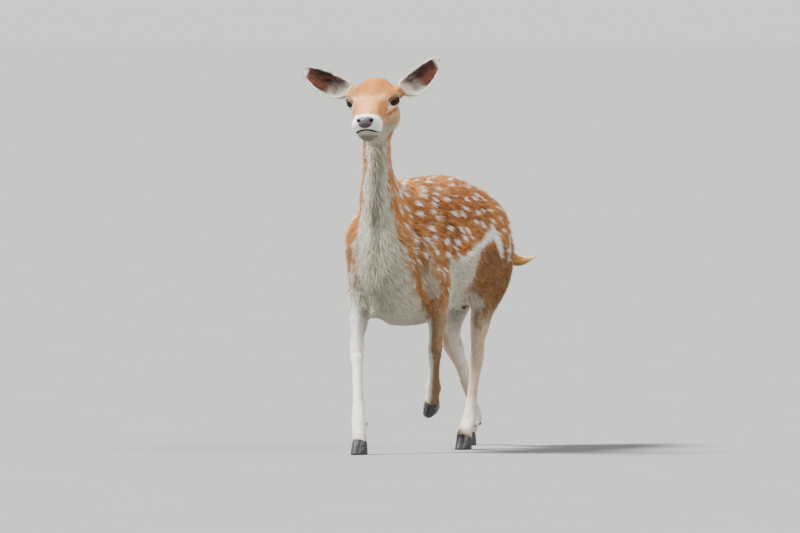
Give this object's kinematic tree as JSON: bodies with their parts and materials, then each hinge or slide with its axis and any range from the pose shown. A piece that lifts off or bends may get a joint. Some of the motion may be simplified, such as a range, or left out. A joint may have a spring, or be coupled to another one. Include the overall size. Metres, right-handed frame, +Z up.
{
  "type": "fallow deer doe",
  "caption": "Standing life-size fallow doe in a spotted summer coat, walking with one foreleg raised, neck upright and head turned to face the viewer.",
  "frame": {"origin": "on the floor under the middle of the model's bounding box", "axes": "+Z up; the doe walks towards -Y and her left side is +X"},
  "size_m": [0.3304, 1.0664, 1.0737],
  "materials": {
    "coat": "short rufous fur, matt",
    "pale_coat": "short whitish fur, matt",
    "nose": "bare pebbled skin, slightly moist",
    "eye": "wet, mirror smooth",
    "horn": "dark horn, satin"
  },
  "bodies": {
    "root": {"torso": "coat", "tail": "coat", "neck": "coat", "head": "coat", "ear_left": "coat", "ear_right": "coat", "udder": "pale_coat", "lower_jaw": "pale_coat", "nose_pad": "nose", "eye_left": "eye", "eye_right": "eye", "fore_left_upper_leg": "coat", "fore_left_lower_leg": "pale_coat", "fore_left_hoof_inner": "horn", "fore_left_dewclaw_inner": "horn", "fore_left_hoof_outer": "horn", "fore_left_dewclaw_outer": "horn", "fore_right_upper_leg": "coat", "fore_right_lower_leg": "pale_coat", "fore_right_hoof_inner": "horn", "fore_right_dewclaw_inner": "horn", "fore_right_hoof_outer": "horn", "fore_right_dewclaw_outer": "horn", "hind_left_upper_leg": "coat", "hind_left_lower_leg": "pale_coat", "hind_left_hoof_inner": "horn", "hind_left_dewclaw_inner": "horn", "hind_left_hoof_outer": "horn", "hind_left_dewclaw_outer": "horn", "hind_right_upper_leg": "coat", "hind_right_lower_leg": "pale_coat", "hind_right_hoof_inner": "horn", "hind_right_dewclaw_inner": "horn", "hind_right_hoof_outer": "horn", "hind_right_dewclaw_outer": "horn"}
  },
  "joints": []
}
